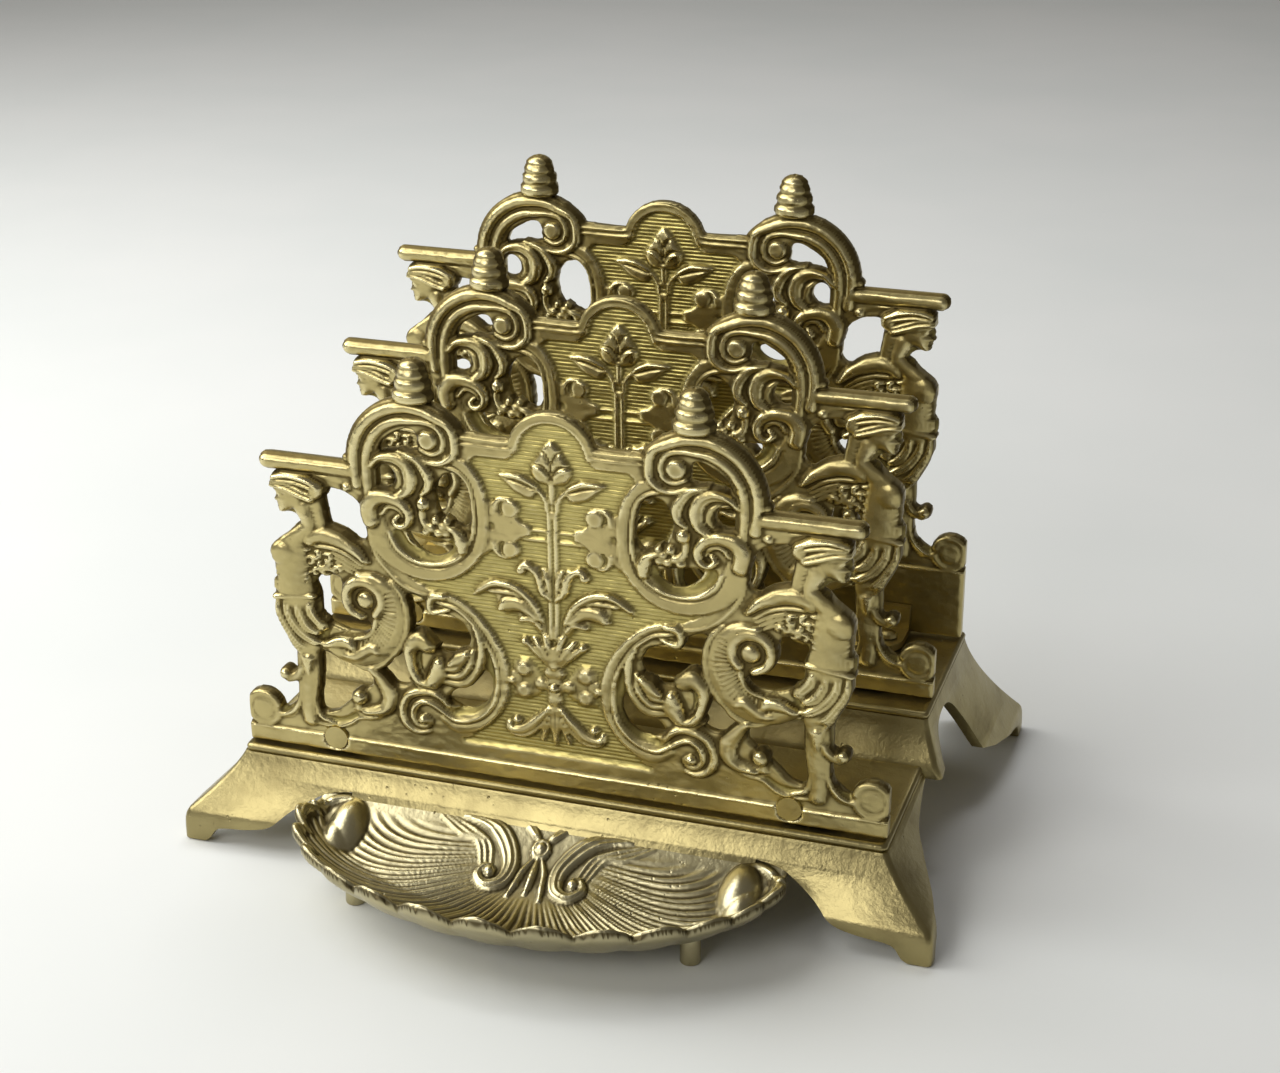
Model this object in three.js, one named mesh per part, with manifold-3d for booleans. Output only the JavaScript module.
// A cast-brass letter rack: a stepped base on four splayed feet carries three identical openwork
// panels, and a scallop-shell tray for nibs and stamps stands in front of it on two peg feet.
// Millimetres, +Z up, the shell towards -Y. The origin is under the middle of the rack.
import * as THREE from 'three';
import { mergeVertices } from 'three/addons/utils/BufferGeometryUtils.js';
import Module from 'manifold-3d';

const wasm = await Module();
wasm.setup();

// Driving dimensions. Depths (y) are taken from the face of the front panel.
const FOOT_X = 85;              // half the width over the feet
const TREAD_X = 72.6;           // half the width of the treads
const FRONT_TOE_Y = -12.4;      // the front feet's toes
const FRONT_TOP_Y = -3;         // the front edge of the lower tread
const RISER_FOOT_Y = 32;        // the step between the treads, at the lower tread
const RISER_TOP_Y = 36;         // and at the upper tread
const REAR_TOP_Y = 79.5;        // the rear edge of the upper tread
const REAR_TOE_Y = 97.8;        // the rear feet's toes
const LOWER_TREAD_Z = 21.4;
const UPPER_TREAD_Z = 32.6;
const TOE_HEIGHT = 7.6;         // the upright toe under the flare
const BASE_WALL = 2.2;
const GAP = 0.3;                // clearance between pieces that touch

const PANEL_FACE = -0.6;        // front of a panel's borders, from its own face plane
const PANEL_BACK = 2.2;
const FIELD_DEPTH = 0.7;        // the striped field lies this deep behind the borders
const RAIL_X = 72.4;            // half the length of the rail
const RAIL_HEIGHT = 3.9;        // its thicker lower band
const BAR_END_X = 64.5;         // centre of the top bars' round ends
const BAR_RADIUS = 1.85;
const BAR_HEIGHT = 67.6;        // centre of the top bars above the rail's foot
const ARCH_X = 31;              // the two large scroll arches
const ARCH_HEIGHT = 70.2;
const ARCH_RADIUS = 14.8;
const CREST_RADIUS = 9.7;       // the small arch in the middle
const CREST_HEIGHT = 75.4;
const SHOULDER_HEIGHT = 78.2;
const FINIAL_X = 30.05;
const FINIAL_BASE_HEIGHT = 84.6;
const RAIL_STEP = 0.5;          // the rail's lower band stands this proud of the borders
const TOP_Y = 0.9;              // centre plane of the round bars and finials
const MIDDLE_PANEL_Y = 43.3;
const REAR_PANEL_Y = 75.6;
const REAR_SKIRT = 12.7;        // plain strip that raises the rear panel

const TRAY_BACK_Y = -4;         // cut back to the apron's face
const BOWL_Y = -34;             // where the floor starts to rise towards the apron
const APRON_Y = -7;             // where it has risen to the height of the lip
const TRAY_CENTRE_Y = -12;      // centre of the ellipse that the lip follows
const TRAY_HALF_X = 53.4;
const TRAY_DEPTH = 34.4;
const TRAY_LIP_Z = 14;
const TRAY_FLOOR_Z = 4.6;
const TRAY_THICKNESS = 1.8;
const TRAY_LOBES = 13;
const LOBE_BULGE = 1.1;
const PEG_X = 37.4;
const PEG_Y = -24.6;
const PEG_RADIUS = 2.15;

const LUG_X = 54.5;             // the angle lugs behind the panels
const LUG_HALF_X = 6.2;
const LUG_PLATE = 1.6;
const LUG_UPRIGHT = 7;
const LUG_TONGUE = 13.2;
const RIVET_X = 51.5;
const RIVET_HEIGHT = 3.5;       // above the rail's foot
const RIVET_HEAD_RADIUS = 2.7;
const RIVET_HEAD_DEPTH = 0.9;
const TAIL_RADIUS = 1.6;
const SHANK_RADIUS = 1.2;
const SCREW_X = 57;
const SCREW_HEAD_RADIUS = 2.2;

// The rack's middle in y, which is moved to the origin.
const MIDDLE_Y = (REAR_TOE_Y + TRAY_CENTRE_Y - TRAY_DEPTH - LOBE_BULGE) / 2;

// ---- Solid helpers ----------------------------------------------------------------------------

function solid(geometry) {
  const plain = geometry.index ? geometry.clone() : geometry;
  plain.deleteAttribute('normal');
  plain.deleteAttribute('uv');
  const merged = mergeVertices(plain, 1e-4);
  return new wasm.Manifold(new wasm.Mesh({
    numProp: 3,
    vertProperties: new Float32Array(merged.attributes.position.array),
    triVerts: new Uint32Array(merged.index.array),
  }));
}

function geometryOf(manifold) {
  const mesh = manifold.getMesh();
  const geometry = new THREE.BufferGeometry();
  geometry.setAttribute('position', new THREE.BufferAttribute(mesh.vertProperties, 3));
  geometry.setIndex(new THREE.BufferAttribute(mesh.triVerts, 1));
  geometry.computeVertexNormals();
  return geometry;
}

// A closed skin through a stack of rings with equal numbers of points, with a fan over each end.
function skin(rings) {
  const count = rings[0].length;
  const middleOf = (ring) => ring.reduce((sum, point) => sum.clone().add(point), new THREE.Vector3())
    .divideScalar(count);
  const points = [...rings.flat(), middleOf(rings[0]), middleOf(rings.at(-1))];
  const start = points.length - 2;
  const end = points.length - 1;
  const last = (rings.length - 1) * count;
  const faces = [];
  for (let i = 0; i < count; i += 1) {
    const next = (i + 1) % count;
    faces.push(start, next, i, end, last + i, last + next);
    for (let ring = 0; ring < last; ring += count) {
      faces.push(ring + i, ring + next, ring + count + next);
      faces.push(ring + i, ring + count + next, ring + count + i);
    }
  }
  const geometry = new THREE.BufferGeometry().setFromPoints(points);
  geometry.setIndex(faces);
  return geometry;
}

// An outline in x and height, given a thickness in y.
function slab(shape, yFront, yBack) {
  const geometry = new THREE.ExtrudeGeometry(shape, { depth: yBack - yFront, bevelEnabled: false });
  return solid(geometry.rotateX(Math.PI / 2).translate(0, yBack, 0));
}

function box(xLow, xHigh, yLow, yHigh, zLow, zHigh) {
  const geometry = new THREE.BoxGeometry(xHigh - xLow, yHigh - yLow, zHigh - zLow);
  return solid(geometry.translate((xLow + xHigh) / 2, (yLow + yHigh) / 2, (zLow + zHigh) / 2));
}

// A turned piece on the z axis. The profile lists radius and height, and starts and ends on the axis.
function turned(profile, sides = 20) {
  return solid(new THREE.LatheGeometry(profile.map(([r, z]) => new THREE.Vector2(r, z)), sides)
    .rotateX(Math.PI / 2));
}

function splinePoints(points, divisions) {
  return new THREE.SplineCurve(points.map(([x, y]) => new THREE.Vector2(x, y))).getPoints(divisions);
}

// Carries a path on through some points on one smooth curve.
function curveOn(path, points) {
  path.splineThru(points.map(([x, y]) => new THREE.Vector2(x, y)));
}

function mirrored(points) {
  return points.map((point) => new THREE.Vector2(-point.x, point.y)).reverse();
}

function piece(name, manifold, material, x = 0, y = 0, z = 0) {
  const mesh = new THREE.Mesh(geometryOf(manifold), material);
  mesh.name = name;
  mesh.position.set(x, y, z);
  return mesh;
}

function brass(color, roughness) {
  return new THREE.MeshStandardMaterial({ color, roughness, metalness: 1 });
}

// ---- Base casting -----------------------------------------------------------------------------

// How far the skirt has flared out at a height: 0 at the tread, 1 at the toe.
function flare(z, treadZ) {
  if (z <= TOE_HEIGHT) return 1 - 0.09 * (z / TOE_HEIGHT) ** 6;
  const rise = (z - TOE_HEIGHT) / (treadZ - TOE_HEIGHT);
  return 0.91 * (1 - rise) ** 1.42;
}

function stepHeights(treadZ) {
  const flared = [1, 0.82, 0.64, 0.48, 0.34, 0.21, 0.1].map((t) => TOE_HEIGHT + t * (treadZ - TOE_HEIGHT));
  return [...flared, TOE_HEIGHT, TOE_HEIGHT * 0.8, TOE_HEIGHT * 0.5, 0].reverse();
}

// One step of the base as a block. front and back give its y at a height, and inset makes the
// smaller block that hollows it out.
function step(treadZ, front, back, inset) {
  const bottom = inset > 0 ? -1 : 0;
  const rings = stepHeights(treadZ).map((z) => {
    const x = TREAD_X + (FOOT_X - TREAD_X) * flare(z, treadZ) - inset;
    const height = z === 0 ? bottom : z - inset * (z / treadZ);
    const yFront = front(z) + inset;
    const yBack = back(z) - inset;
    const chamfer = 1.2;
    return [
      [-x + chamfer, yFront], [x - chamfer, yFront], [x, yFront + chamfer], [x, yBack - chamfer],
      [x - chamfer, yBack], [-x + chamfer, yBack], [-x, yBack - chamfer], [-x, yFront + chamfer],
    ].map(([px, py]) => new THREE.Vector3(px, py, height));
  });
  return solid(skin(rings));
}

function frontStep(inset) {
  const front = (z) => FRONT_TOP_Y + (FRONT_TOE_Y - FRONT_TOP_Y) * flare(z, LOWER_TREAD_Z);
  return step(LOWER_TREAD_Z, front, () => RISER_TOP_Y + 3 * inset, inset);
}

function rearStep(inset) {
  const slope = (RISER_TOP_Y - RISER_FOOT_Y) / (UPPER_TREAD_Z - LOWER_TREAD_Z);
  const front = (z) => RISER_TOP_Y - slope * (UPPER_TREAD_Z - Math.max(z, LOWER_TREAD_Z));
  const back = (z) => REAR_TOP_Y + (REAR_TOE_Y - REAR_TOP_Y) * flare(z, UPPER_TREAD_Z);
  return step(UPPER_TREAD_Z, front, back, inset);
}

// The arch between two feet. It rises to topHeight, and its middle stays at middleHeight, where
// the front apron carries on down behind the tray.
function footArch(topHeight, middleHeight) {
  const rise = topHeight / 15.2;
  const side = splinePoints([
    [80.5, 0], [78.6, 1.2], [76.3, 3.9], [69.5, 4.8], [64, 6.2], [60, 6.2 + 3.2 * rise],
    [56, 11.9 * rise], [51.5, 14.1 * rise], [46, 15 * rise],
  ], 20);
  const middle = [new THREE.Vector2(45, middleHeight), new THREE.Vector2(20, middleHeight)];
  const half = [new THREE.Vector2(80.5, -2), ...side, ...middle];
  return new THREE.Shape([...half, ...mirrored(half)]);
}

// The cusped opening between the front and rear feet, in y and height.
function sideArch() {
  const front = splinePoints([
    [-9, 0], [-8.2, 4], [-5, 7.4], [1.7, 9.4], [11, 13.4], [17, 16], [30, 18.4], [36.6, 19.4],
  ], 16);
  const arch = splinePoints([[38.6, 22.6], [42.6, 26.6], [50, 27.6], [56, 25.4], [60.4, 19], [62.4, 11.8]], 12);
  const rear = splinePoints([[70, 9], [80, 6.6], [88.6, 4.6], [91.4, 1.4], [92.4, 0]], 10);
  return new THREE.Shape([
    new THREE.Vector2(-9, -2), ...front, ...arch, ...rear, new THREE.Vector2(92.4, -2),
  ]);
}

function sideCut(sign) {
  const inside = TREAD_X - 2 * BASE_WALL;
  const geometry = new THREE.ExtrudeGeometry(sideArch(), { depth: 20, bevelEnabled: false });
  geometry.rotateX(Math.PI / 2).rotateZ(Math.PI / 2);
  return solid(geometry.translate(sign > 0 ? inside : -inside - 20, 0, 0));
}

function makeBase() {
  let base = frontStep(0).add(rearStep(0));
  base = base.subtract(frontStep(BASE_WALL)).subtract(rearStep(BASE_WALL));
  base = base.subtract(slab(footArch(15.2, 10.5), FRONT_TOE_Y - 5, 12));
  base = base.subtract(slab(footArch(26, 26), REAR_TOP_Y - 8, REAR_TOE_Y + 5));
  base = base.subtract(sideCut(1)).subtract(sideCut(-1));
  for (const { y, tread, back } of PANELS) {
    for (const sign of [-1, 1]) {
      base = base.subtract(screwHole(sign * SCREW_X, screwY(y, back), tread));
    }
  }
  return base;
}

// ---- Panels -----------------------------------------------------------------------------------

// The right half of the outline, from the middle of the rail's foot round to the top of the crest.
// The supporting figure's head is a plain profile of even proportions.
function outlineHalf(skirt) {
  const path = new THREE.Path();
  path.moveTo(0, -skirt);
  path.lineTo(RAIL_X, -skirt);
  path.lineTo(RAIL_X, RAIL_HEIGHT);
  path.absarc(68.6, 8.2, 4, -0.8, Math.PI, false);
  curveOn(path, [[62.2, 10], [60.4, 12], [60.2, 15.4]]);
  path.lineTo(62.6, 15.4);
  path.absarc(62.7, 17, 1.6, -Math.PI / 2, Math.PI / 2, false);
  path.lineTo(60.2, 18.8);
  curveOn(path, [
    [60.1, 22.5], [62.4, 30.8], [64.9, 38.6], [62.8, 42.8], [63, 47.8], [59.4, 50.8], [57, 53.6],
  ]);
  for (const [x, y] of [[58.6, 55.6], [61.6, 56], [62.2, 58], [63.4, 60.2], [62.3, 61.8], [62, 65.8]]) {
    path.lineTo(x, y);
  }
  path.lineTo(62, BAR_HEIGHT + BAR_RADIUS * 0.8);
  path.lineTo(ARCH_X + ARCH_RADIUS, BAR_HEIGHT + BAR_RADIUS * 0.8);
  path.absarc(ARCH_X, ARCH_HEIGHT, ARCH_RADIUS, 0, 2.58, false);
  path.lineTo(CREST_RADIUS - 0.4, SHOULDER_HEIGHT);
  path.absarc(0, CREST_HEIGHT, CREST_RADIUS, 0.3, Math.PI / 2, false);
  return path.getPoints(4);
}

// The pierced openings of the right half, each a closed smooth curve.
const OPENINGS = {
  underArch: [[38.4, 70.4], [37.4, 74.4], [34.6, 78], [31.2, 79.4], [28.9, 78], [28.6, 74.4], [33.4, 73.2]],
  besideArch: [[39, 65], [38.6, 68.6], [36.2, 69.4], [34.8, 66.8], [36.4, 64.6]],
  ringInner: [[25.8, 64], [24.6, 68.2], [20.6, 69.4], [18.2, 65], [18, 59.6], [20.6, 57.4], [24.6, 59.4]],
  ringFoot: [[32.6, 55], [30.6, 51.8], [27, 50], [23.8, 51.2], [22.8, 53.2], [28, 54.6]],
  behindNeck: [
    [51.6, 61], [50.6, 62.6], [46, 62], [42.8, 59], [41.8, 54], [43.4, 51.4], [47.4, 53.2], [50.8, 55],
  ],
  besideBody: [
    [54.6, 40], [54, 34.6], [51, 31], [45, 29.6], [41.4, 31.8], [44.6, 33.8], [48.2, 37.6], [48.6, 42],
    [52.6, 42.6],
  ],
  besideLeg: [
    [53.8, 24], [54, 17], [55.4, 9.8], [51.4, 10], [47.4, 14], [42.2, 18], [43.8, 22], [48.6, 23.4],
  ],
  inScroll: [
    [33, 40.6], [29.4, 39.6], [26.4, 36.8], [21.4, 36.2], [19, 31.8], [21.4, 28.2], [26, 28], [29.6, 31.6],
    [33, 33],
  ],
  scrollFoot: [[15.8, 25], [14.6, 21.4], [16.4, 17], [21, 15], [24.8, 17.4], [20.4, 20.6], [17.8, 23.8]],
  behindScroll: [[36, 27.2], [34.2, 26], [32, 20.8], [34.4, 18.8], [37.4, 19], [39.6, 22.8]],
};

// The edge of the striped field in the middle, right half.
function fieldHalf() {
  const path = new THREE.Path();
  path.moveTo(0, 8);
  path.lineTo(20, 8);
  curveOn(path, [[13.6, 12.6], [10.6, 19], [10.6, 25], [13.6, 33.6], [20.4, 40], [27.4, 43]]);
  curveOn(path, [[19.4, 49], [15.2, 54], [14, 60], [14.6, 66.2], [17.8, 71.6]]);
  path.lineTo(16.6, 73.5);
  path.lineTo(8.4, 73.5);
  path.absarc(0, CREST_HEIGHT, 7.2, 0, Math.PI / 2, false);
  return path.getPoints(3);
}

function finial() {
  return turned([
    [0, 0], [4, 0], [4.2, 0.9], [3.2, 2.2], [3.6, 3.2], [2.7, 4.6], [2.9, 5.5], [1.4, 8.6], [0, 9.08],
  ], 12);
}

function makePanel(skirt) {
  const half = outlineHalf(skirt);
  const shape = new THREE.Shape([...half, ...mirrored(half)]);
  let panel = slab(shape, PANEL_FACE, PANEL_BACK);
  const field = fieldHalf();
  const fieldShape = new THREE.Shape([...field, ...mirrored(field)]);
  panel = panel.subtract(slab(fieldShape, PANEL_FACE - 1, PANEL_FACE + FIELD_DEPTH));
  for (const outline of Object.values(OPENINGS)) {
    const points = splinePoints([...outline, outline[0]], Math.round(1.6 * outline.length));
    for (const opening of [points, mirrored(points)]) {
      panel = panel.subtract(slab(new THREE.Shape(opening), PANEL_FACE - 1, PANEL_BACK + 1));
    }
  }
  panel = panel.add(box(-RAIL_X, RAIL_X, PANEL_FACE - RAIL_STEP, PANEL_BACK, -skirt, RAIL_HEIGHT));
  const barLength = BAR_END_X - ARCH_X - ARCH_RADIUS + 1;
  for (const sign of [-1, 1]) {
    const bar = new THREE.CapsuleGeometry(BAR_RADIUS, barLength, 3, 10).rotateZ(Math.PI / 2);
    bar.translate(sign * (BAR_END_X - barLength / 2), TOP_Y, BAR_HEIGHT);
    panel = panel.add(solid(bar));
    panel = panel.add(finial().translate([sign * FINIAL_X, TOP_Y, FINIAL_BASE_HEIGHT]));
  }
  return panel;
}

// ---- Shell tray -------------------------------------------------------------------------------

// Height of the tray's upper face: a flat floor, a steep front wall and a gentle rise to the back.
function trayHeight(x, y) {
  const reach = Math.min(1, Math.hypot(x / TRAY_HALF_X, Math.min(0, y - TRAY_CENTRE_Y) / TRAY_DEPTH));
  const back = Math.max(0, (y - BOWL_Y) / (APRON_Y - BOWL_Y));
  return TRAY_FLOOR_Z + (TRAY_LIP_Z - TRAY_FLOOR_Z) * Math.max(reach ** 5, back ** 2);
}

// The lip seen from above: lobes along the ellipse in front, straight along the apron behind.
function trayOutline() {
  const points = [];
  const perLobe = 4;
  const steps = TRAY_LOBES * perLobe;
  for (let i = 0; i <= steps; i += 1) {
    const angle = Math.PI + (Math.PI * i) / steps;
    const bulge = LOBE_BULGE * Math.abs(Math.sin((Math.PI * i) / perLobe));
    points.push(new THREE.Vector2(
      (TRAY_HALF_X + bulge) * Math.cos(angle),
      TRAY_CENTRE_Y + (TRAY_DEPTH + bulge) * Math.sin(angle),
    ));
  }
  for (const x of [50, 30, 15, 0, -15, -30, -50]) {
    points.push(new THREE.Vector2(x, TRAY_BACK_Y));
  }
  return points;
}

// One ring of the tray: its outline drawn in towards the middle, drop below the upper face.
function trayRing(scale, drop) {
  const centre = new THREE.Vector2(0, -26);
  return trayOutline().map((edge) => {
    const point = centre.clone().lerp(edge, scale);
    return new THREE.Vector3(point.x, point.y, trayHeight(point.x, point.y) - drop);
  });
}

const TRAY_RINGS = [0.25, 0.55, 0.75, 0.88, 0.96];

function makeTray() {
  const under = TRAY_RINGS.map((scale) => trayRing(scale, TRAY_THICKNESS));
  const over = TRAY_RINGS.map((scale) => trayRing(scale, 0)).reverse();
  const rim = [trayRing(0.995, 2), trayRing(1, 1), trayRing(0.99, 0.1)];
  return solid(skin([...under, ...rim, ...over])).subtract(frontStep(-GAP));
}

// Everything above the tray's underside, which the pegs end against.
function aboveTray() {
  const under = TRAY_RINGS.map((scale) => trayRing(scale, TRAY_THICKNESS + GAP));
  return solid(skin([...under, trayRing(1, TRAY_THICKNESS), trayRing(1, -20), trayRing(0.25, -20)]));
}

function makePeg(sign) {
  const peg = turned([
    [0, 0], [PEG_RADIUS - 0.5, 0], [PEG_RADIUS, 0.5], [PEG_RADIUS, TRAY_LIP_Z], [0, TRAY_LIP_Z],
  ]);
  return peg.subtract(aboveTray().translate([-sign * PEG_X, -PEG_Y, 0]));
}

// ---- Lugs and fasteners -----------------------------------------------------------------------

// The three panels: where each stands, and on which side its lugs lie (1 behind, -1 in front).
const PANELS = [
  { name: 'front', y: 0, tread: LOWER_TREAD_Z, skirt: 0, back: 1 },
  { name: 'middle', y: MIDDLE_PANEL_Y, tread: UPPER_TREAD_Z, skirt: 0, back: 1 },
  { name: 'rear', y: REAR_PANEL_Y, tread: UPPER_TREAD_Z, skirt: REAR_SKIRT, back: -1 },
];

// The face of the panel that its lugs lie against.
function lugFace(y, back) {
  return back > 0 ? y + PANEL_BACK + GAP : y + PANEL_FACE - RAIL_STEP - GAP;
}

function screwY(y, back) {
  return lugFace(y, back) + back * (LUG_TONGUE - LUG_HALF_X);
}

function screwHole(x, y, tread) {
  return turned([[0, 0], [SHANK_RADIUS + GAP, 0], [SHANK_RADIUS + GAP, 8], [0, 8]], 12)
    .translate([x, y, tread - 5]);
}

function rivetHole(x, height) {
  const hole = turned([[0, -8], [SHANK_RADIUS + GAP, -8], [SHANK_RADIUS + GAP, 8], [0, 8]], 12);
  return hole.rotate([90, 0, 0]).translate([x, 0, height]);
}

// An angle lug: an upright against the panel and a tongue with a round end along the tread.
function makeLug(sign, back) {
  const tongueEnd = LUG_TONGUE - LUG_HALF_X;
  const path = new THREE.Shape();
  path.moveTo(-LUG_HALF_X, 0);
  path.lineTo(LUG_HALF_X, 0);
  path.lineTo(LUG_HALF_X, tongueEnd);
  path.absarc(0, tongueEnd, LUG_HALF_X, 0, Math.PI, false);
  const tongue = new THREE.ExtrudeGeometry(path, { depth: LUG_PLATE, bevelEnabled: false, curveSegments: 8 });
  const upright = box(-LUG_HALF_X, LUG_HALF_X, 0, LUG_PLATE, 0, LUG_UPRIGHT);
  let lug = solid(tongue).add(upright);
  lug = back > 0 ? lug : lug.rotate([0, 0, 180]);
  const screw = screwHole(sign * (SCREW_X - LUG_X), back * tongueEnd, 0);
  return lug.subtract(screw).subtract(rivetHole(sign * (RIVET_X - LUG_X), RIVET_HEIGHT));
}

// A rivet lying along y: a flush head in the rail's face, and a tail closed over the lug.
function makeRivet(back) {
  const head = RIVET_HEAD_RADIUS;
  const grip = RAIL_STEP - PANEL_FACE + PANEL_BACK + LUG_PLATE + 2 * GAP;
  return turned([
    [0, 0], [head, 0], [head, RIVET_HEAD_DEPTH], [SHANK_RADIUS, RIVET_HEAD_DEPTH],
    [SHANK_RADIUS, grip], [TAIL_RADIUS, grip],
    [TAIL_RADIUS * 0.8, grip + 0.8], [0, grip + 1],
  ], 16).rotate([back > 0 ? -90 : 90, 0, 0]);
}

function makeScrew() {
  const head = SCREW_HEAD_RADIUS;
  const screw = turned([
    [0, -4.6], [SHANK_RADIUS, -4.6], [SHANK_RADIUS, 0],
    [head, 0], [head * 0.85, 0.8], [head * 0.5, 1.25], [0, 1.4],
  ], 16);
  return screw.subtract(box(-head, head, -0.3, 0.3, 0.7, 2));
}

function countersink(x, height, yFace, back) {
  const radius = RIVET_HEAD_RADIUS + GAP;
  const depth = RIVET_HEAD_DEPTH + GAP;
  const sink = turned([[0, -1], [radius, -1], [radius, depth], [0, depth]], 16);
  return sink.rotate([back > 0 ? -90 : 90, 0, 0]).translate([x, yFace, height]);
}

// ---- The whole rack ---------------------------------------------------------------------------

const baseBrass = brass(0xa8935c, 0.36);
const panelBrass = brass(0x9c8f5e, 0.38);
const trayBrass = brass(0x8f8058, 0.42);
const fastenerBrass = brass(0xb39a5a, 0.34);

const rack = new THREE.Group();
rack.position.y = -MIDDLE_Y;

rack.add(piece('base_casting', makeBase(), baseBrass));
rack.add(piece('shell_tray', makeTray(), trayBrass));
for (const [side, sign] of [['left', -1], ['right', 1]]) {
  rack.add(piece(`tray_peg_${side}`, makePeg(sign), trayBrass, sign * PEG_X, PEG_Y));
}

for (const { name, y, tread, skirt, back } of PANELS) {
  const foot = tread + GAP;
  let panel = makePanel(skirt);
  const rivetFace = back > 0 ? PANEL_FACE - RAIL_STEP : PANEL_BACK;
  const rivetHeight = RIVET_HEIGHT - skirt;
  for (const [side, sign] of [['left', -1], ['right', 1]]) {
    panel = panel.subtract(rivetHole(sign * RIVET_X, rivetHeight));
    panel = panel.subtract(countersink(sign * RIVET_X, rivetHeight, rivetFace, back));
    const face = lugFace(y, back);
    rack.add(piece(`${name}_lug_${side}`, makeLug(sign, back), panelBrass, sign * LUG_X, face, foot));
    rack.add(piece(`${name}_rivet_${side}`, makeRivet(back), fastenerBrass,
      sign * RIVET_X, y + rivetFace, foot + RIVET_HEIGHT));
    rack.add(piece(`${name}_screw_${side}`, makeScrew(), fastenerBrass,
      sign * SCREW_X, screwY(y, back), foot + LUG_PLATE + GAP));
  }
  rack.add(piece(`${name}_panel`, panel, panelBrass, 0, y, foot + skirt));
}

export default rack;
